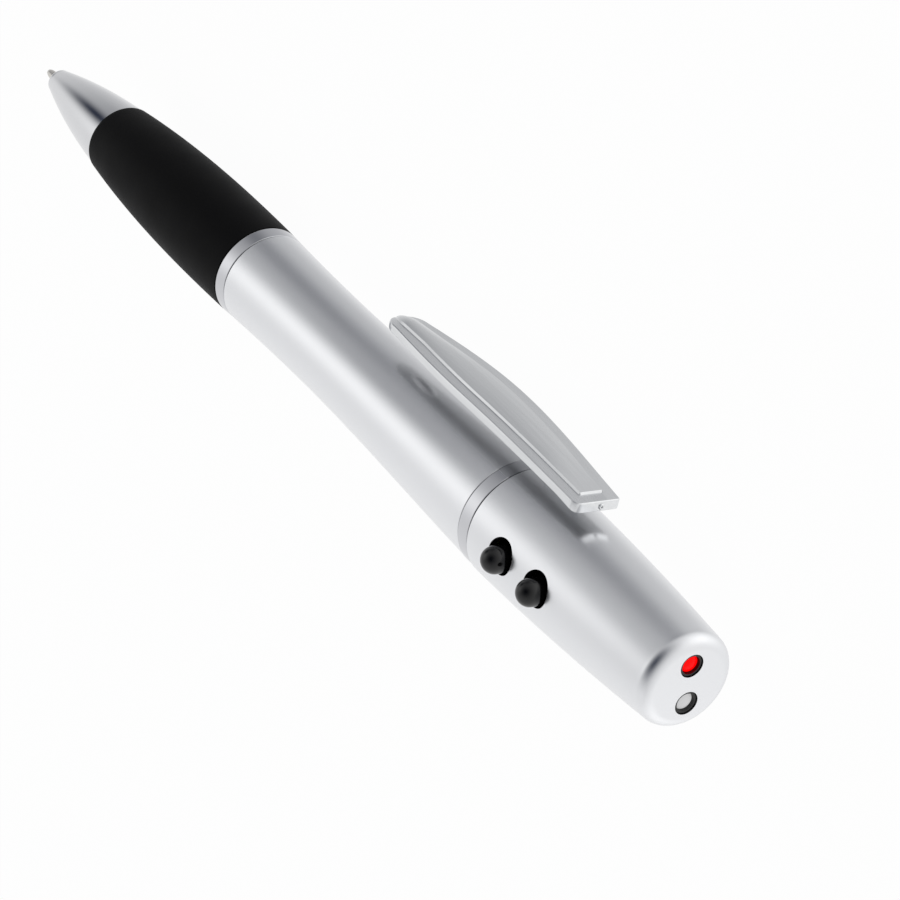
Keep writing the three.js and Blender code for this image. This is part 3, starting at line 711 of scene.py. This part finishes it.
def make_barrel():
    """The lower barrel: a gentle waist outside, a stepped bore inside."""
    front = (BARREL_X, BARREL_FRONT_RADIUS)
    waist = (WAIST_X, WAIST_RADIUS)
    rear = (CENTRE_RING_X, BARREL_REAR_RADIUS)
    to_waist = bow(front, WAIST_SLOPES[0], waist, 0, BARREL_STEPS[0])
    to_rear = bow(waist, 0, rear, WAIST_SLOPES[1], BARREL_STEPS[1])
    counterbore = CENTRE_RING_X - SKIRT_LENGTH - SKIRT_PLAY
    outline = [
        (BARREL_X, LINER_FIT_RADIUS),
        *to_waist,
        *to_rear[1:],
        (CENTRE_RING_X, SKIRT_RADIUS + SKIRT_FIT),
        (counterbore, SKIRT_RADIUS + SKIRT_FIT),
        (counterbore, CELL_CLEARANCE_RADIUS),
        (WIDE_BORE_X, CELL_CLEARANCE_RADIUS),
        (WIDE_BORE_X, BARREL_BORE),
        (SHOULDER_X, BARREL_BORE),
        (SHOULDER_X, LINER_FIT_RADIUS),
    ]
    barrel = turned("barrel", outline)
    soften(barrel, SHELL_EDGE)
    lay(barrel, "lower_barrel", "lower", SATIN)


def make_centre_band():
    """The polished ring at the joint, with a skirt that enters the barrel."""
    front = CENTRE_RING_X + SEAM
    outline = [
        (front - SKIRT_LENGTH, CELL_CLEARANCE_RADIUS),
        (front - SKIRT_LENGTH, SKIRT_RADIUS),
        (front, SKIRT_RADIUS),
        (front, RING_RADIUS),
        (TWIST_X, RING_RADIUS),
        (TWIST_X, CELL_CLEARANCE_RADIUS),
    ]
    band = turned("centre_band", outline)
    soften(band)
    lay(band, "centre_ring", "lower", RING_METAL)


def housing_radius(x):
    """The outer radius of the housing at one station."""
    return bow_at(x, HOUSING_FRONT, HOUSING_SLOPES[0], HOUSING_REAR, HOUSING_SLOPES[1])


def drill(name, radius, low, high, matrix):
    """A cutter for a round hole, black like the bare plastic inside the lacquer."""
    outline = [(low, 0), (low, radius), (high, radius), (high, 0)]
    cutter = turned(name, outline, closed=False, steps=SMALL_STEPS)
    cutter.data.materials.append(MATTE_BLACK)
    return place(cutter, matrix)


def block(name, low, high, material=None):
    """A rectangular form between two corners."""
    bpy.ops.mesh.primitive_cube_add(size=MM)
    piece = rename(bpy.context.object, name)
    bpy.ops.object.mode_set(mode="EDIT")
    bpy.ops.transform.resize(value=[b - a for a, b in zip(low, high)])
    bpy.ops.transform.translate(value=[(a + b) / 2 * MM for a, b in zip(low, high)])
    bpy.ops.object.mode_set(mode="OBJECT")
    if material:
        piece.data.materials.append(material)
    return piece


def side_axis(x, shift=0):
    """The turn that makes a form along the pen stand out of its buttons' side, at a station."""
    upright = Matrix.Translation((0, shift * MM, 0)) @ Matrix.Rotation(-math.pi / 2, 4, "Y")
    station = Matrix.Translation((x * MM, 0, 0))
    return station @ Matrix.Rotation(-BUTTON_AZIMUTH, 4, "X") @ upright


def end_axis(side):
    """The move from the pen's axis to the laser's, with side 1, or to the lamp's, with -1."""
    offset = Matrix.Translation((0, 0, side * LAMP_OFFSET * MM))
    return Matrix.Rotation(-LAMP_AZIMUTH, 4, "X") @ offset


def make_housing():
    """The upper shell with its rounded end, lamp holes, button holes and clip slot."""
    front_slope, rear_slope = HOUSING_SLOPES
    skin = bow(HOUSING_FRONT, front_slope, HOUSING_REAR, rear_slope, HOUSING_STEPS)
    collar_end = HOUSING_X + HOUSING_COLLAR_LENGTH
    inner_end = END_X - END_WALL
    lining_start = (collar_end, housing_radius(collar_end) - WALL)
    lining_end = (inner_end, HOUSING_REAR_RADIUS - WALL)
    lining = bow(lining_start, front_slope, lining_end, rear_slope, LINING_STEPS)
    end_centre = (END_X - END_ROUND, HOUSING_REAR_RADIUS - END_ROUND)
    outline = [
        (HOUSING_X, HOUSING_COLLAR_BORE),
        *skin[:-1],
        *arc(end_centre, END_ROUND, 0, 90, END_STEPS),
        (END_X, 0),
        (inner_end, 0),
        *reversed(lining),
        (collar_end, HOUSING_COLLAR_BORE),
    ]
    housing = turned("housing", outline)
    soften(housing, SHELL_EDGE)
    housing.data.materials.append(SATIN)
    housing.data.materials.append(MATTE_BLACK)
    before, past = END_X - 2 * END_WALL, END_X + END_WALL
    cutters = []
    for side in (1, -1):
        cutters.append(drill("lamp_hole", LAMP_HOLE_RADIUS, before, past, end_axis(side)))
    low, high = SIDE_CUT
    for x in BUTTON_STATIONS.values():
        axis = side_axis(x, BUTTON_HOLE_SHIFT)
        cutters.append(drill("button_hole", BUTTON_HOLE_RADIUS, low, high, axis))
    slot_half = CLIP_FOOT_HALF_WIDTH + CLIP_SLOT_FIT
    slot_low = (CLIP_FOOT_X[0] - CLIP_SLOT_PLAY, -slot_half, low)
    slot_high = (CLIP_FOOT_X[1] + CLIP_SLOT_PLAY, slot_half, high)
    cutters.append(block("clip_slot", slot_low, slot_high, SATIN))
    combine(housing, cutters, "DIFFERENCE")
    lay(housing, "upper_housing", "upper")


def make_buttons():
    """The two domed caps, each with its flange and post."""
    for node, x in BUTTON_STATIONS.items():
        surface_height = housing_radius(x)
        top = surface_height + BUTTON_PROUD
        flange_top = surface_height - BUTTON_FLANGE_DROP
        flange_low = flange_top - BUTTON_FLANGE_HEIGHT
        outline = [
            (BUTTON_POST_FOOT, 0),
            (BUTTON_POST_FOOT, BUTTON_POST_RADIUS),
            (flange_low, BUTTON_POST_RADIUS),
            (flange_low, BUTTON_FLANGE_RADIUS),
            (flange_top, BUTTON_FLANGE_RADIUS),
            (flange_top, BUTTON_RADIUS),
            *arc((top - BUTTON_RADIUS, 0), BUTTON_RADIUS, 0, POLE_ANGLE, CAP_STEPS),
            (top, 0),
        ]
        cap = turned(node.replace("button", "cap"), outline, closed=False, steps=SMALL_STEPS)
        soften(cap, SMALL_EDGE)
        place(cap, side_axis(x))
        lay(cap, node, node, GLOSS_BLACK)


def make_end_block():
    """The black block behind the end wall, with a nozzle for the laser and one for the lamp."""
    rear = END_X - END_WALL - SEAM
    front = rear - INSERT_LENGTH
    lip = END_X - NOZZLE_RECESS
    laser_seat = END_X - END_WALL - NOZZLE_SEAT
    lamp_seat = lip - WINDOW_INSET - LAMP_LENGTH + LAMP_FLANGE_HEIGHT + SEAM
    disc = [(front, 0), (front, INSERT_RADIUS), (rear, INSERT_RADIUS), (rear, 0)]
    insert = turned("end_block", disc, closed=False)
    root, before = rear - OVERRUN, front - OVERRUN
    rod = [(root, 0), (root, NOZZLE_RADIUS), (lip, NOZZLE_RADIUS), (lip, 0)]
    nozzles = [turned("nozzle", rod, closed=False, steps=SMALL_STEPS) for _ in range(2)]
    for nozzle, side in zip(nozzles, (1, -1)):
        place(nozzle, end_axis(side))
    combine(insert, nozzles, "UNION")
    cutters = []
    for side in (1, -1):
        cutters.append(drill("nozzle_bore", NOZZLE_BORE, before, END_X, end_axis(side)))
    cutters.append(drill("laser_pocket", LASER_POCKET_RADIUS, before, laser_seat, end_axis(1)))
    cutters.append(drill("lamp_pocket", LAMP_POCKET_RADIUS, before, lamp_seat, end_axis(-1)))
    combine(insert, cutters, "DIFFERENCE")
    lay(insert, "end_insert", "upper", MATTE_BLACK)


def make_laser_window():
    """The laser's lens, with a stem that ends in a small dome in the end wall's hole."""
    rear = END_X - END_WALL - NOZZLE_SEAT - POCKET_PLAY - LENS_INSET
    window = END_X - NOZZLE_RECESS - WINDOW_INSET
    dome = []
    for step in range(WINDOW_STEPS + 1):
        share = step / WINDOW_STEPS
        dome.append((window - LENS_BULGE * share**2, LENS_STEM_RADIUS * share))
    outline = [
        (rear - LENS_THICKNESS, 0),
        (rear - LENS_THICKNESS, LENS_RADIUS),
        (rear, LENS_RADIUS),
        (rear, LENS_STEM_RADIUS),
        *reversed(dome),
    ]
    lens = turned("laser_window", outline, closed=False, steps=SMALL_STEPS)
    soften(lens, SMALL_EDGE)
    place(lens, end_axis(1))
    lay(lens, "laser_lens", "upper", LASER_RED)


def make_lamp_dome():
    """The small lamp with its round nose, flange and two leads."""
    nose = END_X - NOZZLE_RECESS - WINDOW_INSET
    foot = nose - LAMP_LENGTH
    lens_arc = arc((0, 0), LAMP_RADIUS, 0, POLE_ANGLE, LAMP_STEPS)
    outline = [
        (foot, 0),
        (foot, LAMP_FLANGE_RADIUS),
        (foot + LAMP_FLANGE_HEIGHT, LAMP_FLANGE_RADIUS),
        (foot + LAMP_FLANGE_HEIGHT, LAMP_RADIUS),
        *((nose - LAMP_DOME * (1 - x / LAMP_RADIUS), r) for x, r in lens_arc),
        (nose, 0),
    ]
    dome = turned("lamp_dome", outline, closed=False, steps=SMALL_STEPS)
    soften(dome, SMALL_EDGE)
    half = LEAD_SIDE / 2
    leads = []
    for side in (1, -1):
        middle = side * LEAD_PITCH / 2
        low = (BOARD_REAR_X + POCKET_PLAY, middle - half, -half)
        leads.append(block("lead", low, (foot + half, middle + half, half)))
    combine(dome, leads, "UNION")
    place(dome, end_axis(-1))
    lay(dome, "lamp", "upper", CLEAR)


def clip_shape(distance):
    """Half width and height of the clip's top face at a distance from its rear end."""
    near = min(distance, CLIP_SHOULDER)
    widths, stands = CLIP_HALF_WIDTHS, [RING_RADIUS + stand for stand in CLIP_STANDS]
    if near < CLIP_WIDEST:
        width = bow_at(near, (0, widths[0]), CLIP_WIDTH_SLOPES[0], (CLIP_WIDEST, widths[1]), 0)
    else:
        end = (CLIP_SHOULDER, widths[2])
        width = bow_at(near, (CLIP_WIDEST, widths[1]), 0, end, CLIP_WIDTH_SLOPES[1])
    if near < CLIP_CREST:
        top = bow_at(near, (0, stands[0]), CLIP_HEIGHT_SLOPES[0], (CLIP_CREST, stands[1]), 0)
    else:
        end = (CLIP_SHOULDER, stands[2])
        top = bow_at(near, (CLIP_CREST, stands[1]), 0, end, CLIP_HEIGHT_SLOPES[1])
    past = max(distance - CLIP_SHOULDER, 0)
    top += CLIP_HEIGHT_SLOPES[1] * past
    width *= math.sqrt(1 - (past / (CLIP_LENGTH - CLIP_SHOULDER)) ** 2)
    return width, top


def quarter(radius, distance):
    """How far a quarter-round edge has fallen at a distance from where it starts."""
    remaining = max(radius - distance, 0)
    return radius - math.sqrt(radius**2 - remaining**2)


def rounded(y, z, radius, start):
    """A quarter turn of a rounded edge in a cross-section, from a start angle on."""
    points = []
    for step in range(EDGE_STEPS + 1):
        angle = math.radians(start + 90 * step / EDGE_STEPS)
        points.append((y + radius * math.cos(angle), z + radius * math.sin(angle)))
    return points


def clip_flank(width, high, low, rise, crown):
    """Half of a cross-section, from the clip's low edge to the middle of its raised panel."""
    edge = min(CLIP_EDGE, width / 4)
    panel = max(width - CLIP_BORDER, width / 2)
    inner = panel - min(CLIP_STEP, panel / 4)
    crest = high + rise
    flank = [
        *rounded(width - edge, low + edge, edge, -90),
        *rounded(width - edge, high - edge, edge, 0),
        (panel, high),
        (inner, crest),
    ]
    for share in CLIP_CROWN_SHARES:
        flank.append((inner * share, crest + crown * (1 - share**2)))
    return flank


def clip_section(distance, rise, squeeze):
    """One cross-section of the clip, from its low far edge over the panel to the near edge."""
    width, top = clip_shape(distance)
    squeeze += quarter(CLIP_EDGE, distance)
    heel = CLIP_HEEL * max(1 - distance / CLIP_HEEL_LENGTH, 0) ** 2
    high, low = top - squeeze, top - CLIP_THICKNESS - heel + squeeze
    grown = min(max(distance - CLIP_BORDER, 0) / CLIP_CROWN_RUN, 1)
    crown = CLIP_CROWN * rise / CLIP_RISE * grown * grown * (3 - 2 * grown)
    far_width = width - quarter(CLIP_FAR_CORNER, distance)
    near_width = width - quarter(CLIP_NEAR_CORNER, distance)
    far = clip_flank(far_width, high, low, rise, crown)
    near = [(-y, z) for y, z in clip_flank(near_width, high, low, rise, crown)]
    ring = [*far, (0, high + rise + crown), *reversed(near)]
    return [(CLIP_REAR_X - distance, y, z) for y, z in ring]


def clip_stations():
    """Distances along the clip, with the panel's rise and the squeeze of its tip at each."""
    start = CLIP_BORDER + CLIP_STEP
    stations = [(CLIP_EDGE * share, 0, 0) for share in LEAF_EDGE_SHARES]
    stations += [(distance, 0, 0) for distance in LEAF_CORNER_STATIONS]
    stations.append((CLIP_BORDER, 0, 0))
    for step in range(LEAF_STEPS + 1):
        distance = start + (CLIP_SHOULDER - start) * step / LEAF_STEPS
        stations.append((distance, CLIP_RISE, 0))
    for angle in LEAF_TIP_ANGLES:
        turn = math.radians(angle)
        distance = CLIP_SHOULDER + (CLIP_LENGTH - CLIP_SHOULDER) * math.sin(turn)
        stations.append((distance, CLIP_RISE * math.cos(turn), CLIP_TIP_ROUND * (1 - math.cos(turn))))
    return stations


def draw_leaf():
    """The clip's leaf, extruded section by section from its rear end to its tip."""
    stations = clip_stations()
    section = clip_section(*stations[0])
    leaf = start_point("clip_leaf", *section[0])
    draw_line(section)
    bpy.ops.mesh.select_all(action="SELECT")
    bpy.ops.mesh.edge_face_add()
    for station in stations[1:]:
        following = clip_section(*station)
        bpy.ops.mesh.extrude_region_move(TRANSFORM_OT_translate={"value": (0, 0, 0)})
        mesh = bmesh.from_edit_mesh(leaf.data)
        for corner in [corner for corner in mesh.verts if corner.select]:
            distances = [(corner.co / MM - Vector(point)).length for point in section]
            corner.co = Vector(following[distances.index(min(distances))]) * MM
        bmesh.update_edit_mesh(leaf.data)
        section = following
    make_solid()
    return leaf


def make_foot():
    """The clip's foot and the barbs at its ends, which hold it behind the housing's wall."""
    front, rear = CLIP_FOOT_X
    half = CLIP_FOOT_HALF_WIDTH
    _, top = clip_shape(CLIP_REAR_X - front)
    barb_top = housing_radius(rear) - WALL - CLIP_BARB_PLAY - CLIP_BARB_REACH
    barb_low = barb_top - CLIP_BARB_HEIGHT
    foot = block("foot", (front, -half, barb_low), (rear, half, top - CLIP_THICKNESS / 2))
    barb_front = (front - CLIP_BARB_REACH, -half, barb_low)
    barbs = block("barbs", barb_front, (rear + CLIP_BARB_REACH, half, barb_top))
    return [foot, barbs]


def make_bead():
    """The low bead under the clip's tip, cut off inside the leaf."""
    _, top = clip_shape(BEAD_PLACE)
    bpy.ops.mesh.primitive_uv_sphere_add(segments=BEAD_SEGMENTS, ring_count=BEAD_RINGS, radius=MM)
    bead = rename(bpy.context.object, "bead")
    bpy.ops.object.mode_set(mode="EDIT")
    length, width, depth = BEAD_SIZE
    bpy.ops.transform.resize(value=(length / 2, width / 2, depth))
    centre = (CLIP_REAR_X - BEAD_PLACE, 0, top - CLIP_THICKNESS)
    bpy.ops.transform.translate(value=[value * MM for value in centre])
    cut = (0, 0, (top - CLIP_THICKNESS / 2) * MM)
    bpy.ops.mesh.bisect(plane_co=cut, plane_no=(0, 0, 1), use_fill=True, clear_outer=True)
    make_solid()
    return bead


def make_gate_mark():
    """The small round mark with a dimple on the clip's rear face."""
    outline = [
        (-NUB_HEIGHT, 0),
        (-NUB_HEIGHT, NUB_RADIUS),
        (NUB_HEIGHT / 2, NUB_RADIUS),
        (NUB_HEIGHT, NUB_RADIUS - NUB_HEIGHT / 2),
        (NUB_HEIGHT, NUB_DIMPLE),
        (NUB_DIMPLE_FLOOR, NUB_DIMPLE / 2),
        (NUB_DIMPLE_FLOOR, 0),
    ]
    nub = turned("nub", outline, closed=False, steps=NUB_STEPS)
    _, top = clip_shape(0)
    return place(nub, Matrix.Translation(Vector((CLIP_REAR_X, NUB_PLACE, top - NUB_DROP)) * MM))


def finish_clip(leaf):
    """Gives the clip its brushed metal, and paints shade on the rim's near and rear part and on the
    underside with darker copies of that metal.
    """
    metals = (CLIP_METAL, CLIP_RIM_SHADE, CLIP_UNDERSIDE_SHADE)
    leaf.data.materials.clear()
    for metal in metals:
        leaf.data.materials.append(metal)
    for face in leaf.data.polygons:
        _, top = clip_shape(CLIP_REAR_X - face.center.x / MM)
        low = face.center.z / MM < top + RIM_LIMIT and face.center.y < RIM_FAR_SIDE * MM
        metal = CLIP_RIM_SHADE if low and face.normal.z > RIM_SLOPE else CLIP_METAL
        if face.normal.z < UNDERSIDE_SLOPE:
            metal = CLIP_UNDERSIDE_SHADE
        face.material_index = metals.index(metal)


def make_clip():
    """The leaf with its foot and barbs, the bead under its tip and the gate mark behind."""
    leaf = draw_leaf()
    combine(leaf, [*make_foot(), make_bead(), make_gate_mark()], "UNION")
    finish_clip(leaf)
    lay(leaf, "clip", "clip")


def finish_inner_pieces():
    """The inner pieces keep their solids and get the finish of their slot."""
    for entry in frame["record"]["subparts"]:
        node = frame["nodes"][entry["node"]]
        node.data.materials.clear()
        node.data.materials.append(SLOT_MATERIALS[entry["material_slot"]])


make_nose()
make_writing_tip()
make_grip()
make_grip_band()
make_barrel()
make_centre_band()
make_housing()
make_buttons()
make_end_block()
make_laser_window()
make_lamp_dome()
make_clip()
finish_inner_pieces()


# The studio: a pale floor, and a room of one level of light with brighter and darker places.
FLOOR_SIZE = 6
FLOOR_COLOUR = (0.97, 0.97, 0.97)
FLOOR_GLOW_SHARE = 0.97
ROOM_SHADE = (0.003, 0.01, 0.032, 1)
ROOM_LEVEL = 0.86
# Each place has the azimuth and elevation of its middle in degrees, how sharply it fades, and
# the light that it adds to the room's level or takes from it.
ROOM_PLACES = (
    # The dark band along the barrel, and the grey below it.
    (135, -15, 10, -0.55),
    (165, -45, 12, -0.25),
    # The bright band above it.
    (155, 40, 20, 0.45),
    # The dark patch on the cone.
    (155, 13, 40, -0.7),
    # The crescent at the edge of the end.
    (70, 45, 3, -0.84),
    # The lighter sides of the end.
    (45, -55, 6, 0.4),
    (-65, 0, 8, 0.25),
)
STUDIO_LAMP_PLACE = (0.15, -0.25, 0.95)
STUDIO_LAMP_SIZE = 0.8
STUDIO_LAMP_POWER = 0.1

# The camera stands where the photograph was taken from, turned about its own axis as well.
CAMERA_PLACE = (396.36 * MM, 337.82 * MM, 217.86 * MM)
CAMERA_TURN = tuple(math.radians(angle) for angle in (-43.331, 57.953, -5.803))
CAMERA_LENS = 200
CAMERA_SENSOR = 36


def direction(azimuth, elevation):
    """A direction in the room, from two angles in degrees."""
    turn, rise = math.radians(azimuth), math.radians(elevation)
    return (math.cos(rise) * math.cos(turn), math.cos(rise) * math.sin(turn), math.sin(rise))


def make_room():
    """The room, which lights the pen and shows in its metal. The camera sees plain white."""
    world = bpy.data.worlds.new("room")
    bpy.context.scene.world = world
    world.use_nodes = True
    tree = Tree(world.node_tree)
    towards = tree.node("ShaderNodeTexCoord", output="Generated")
    light = ROOM_LEVEL
    for azimuth, elevation, sharpness, strength in ROOM_PLACES:
        inputs = {0: towards, 1: direction(azimuth, elevation)}
        settings = {"operation": "DOT_PRODUCT"}
        nearness = tree.node("ShaderNodeVectorMath", settings, inputs, output="Value")
        fade = {0: (nearness - 1) * sharpness}
        light = light + strength * tree.node("ShaderNodeMath", {"operation": "EXPONENT"}, fade)
    walls = tree.mix(light, ROOM_SHADE, WHITE, clamped=False)
    camera = tree.node("ShaderNodeLightPath", output="Is Camera Ray")
    transmission = tree.node("ShaderNodeLightPath", output="Is Transmission Ray")
    colour = tree.mix(camera + transmission, walls, WHITE)
    shader = tree.node("ShaderNodeBackground", inputs={"Color": colour, "Strength": 1.0})
    tree.node("ShaderNodeOutputWorld", inputs={"Surface": shader})


def floor_surface(tree):
    """Pale paper, which shows the camera a share of its own white so that only shadows stay."""
    cloud = tree.noise(0.004)
    colour = tree.mix(cloud, shade(FLOOR_COLOUR, 1), shade(FLOOR_COLOUR, 1.01))
    inputs = {"Base Color": colour, "Roughness": 1.0, "Specular IOR Level": 0.0}
    paper = tree.node("ShaderNodeBsdfPrincipled", inputs=inputs)
    glow = tree.node("ShaderNodeEmission", inputs={"Color": WHITE, "Strength": 1.0})
    camera = tree.node("ShaderNodeLightPath", output="Is Camera Ray")
    inputs = {0: camera * FLOOR_GLOW_SHARE, 1: paper, 2: glow}
    return tree.node("ShaderNodeMixShader", inputs=inputs)


def make_floor():
    """The floor, which the metal doesn't reflect."""
    bpy.ops.mesh.primitive_plane_add(size=FLOOR_SIZE)
    floor = rename(bpy.context.object, "floor")
    floor.data.materials.append(surface("floor_paper", floor_surface))
    floor.visible_glossy = False


def make_studio_lamp():
    """A faint round lamp above the pen, turned towards it."""
    bpy.ops.object.light_add(type="AREA", location=STUDIO_LAMP_PLACE)
    lamp = bpy.context.object
    lamp.data.shape = "DISK"
    lamp.data.size = STUDIO_LAMP_SIZE
    lamp.data.energy = STUDIO_LAMP_POWER
    lamp.rotation_euler = (-Vector(STUDIO_LAMP_PLACE)).to_track_quat("-Z", "Y").to_euler()


def make_camera():
    """The camera, which the scene looks through."""
    bpy.ops.object.camera_add(location=CAMERA_PLACE, rotation=CAMERA_TURN)
    camera = bpy.context.object
    camera.data.lens = CAMERA_LENS
    camera.data.sensor_width = CAMERA_SENSOR
    bpy.context.scene.camera = camera


make_room()
make_floor()
make_studio_lamp()
make_camera()
bpy.context.scene.view_settings.view_transform = "Standard"
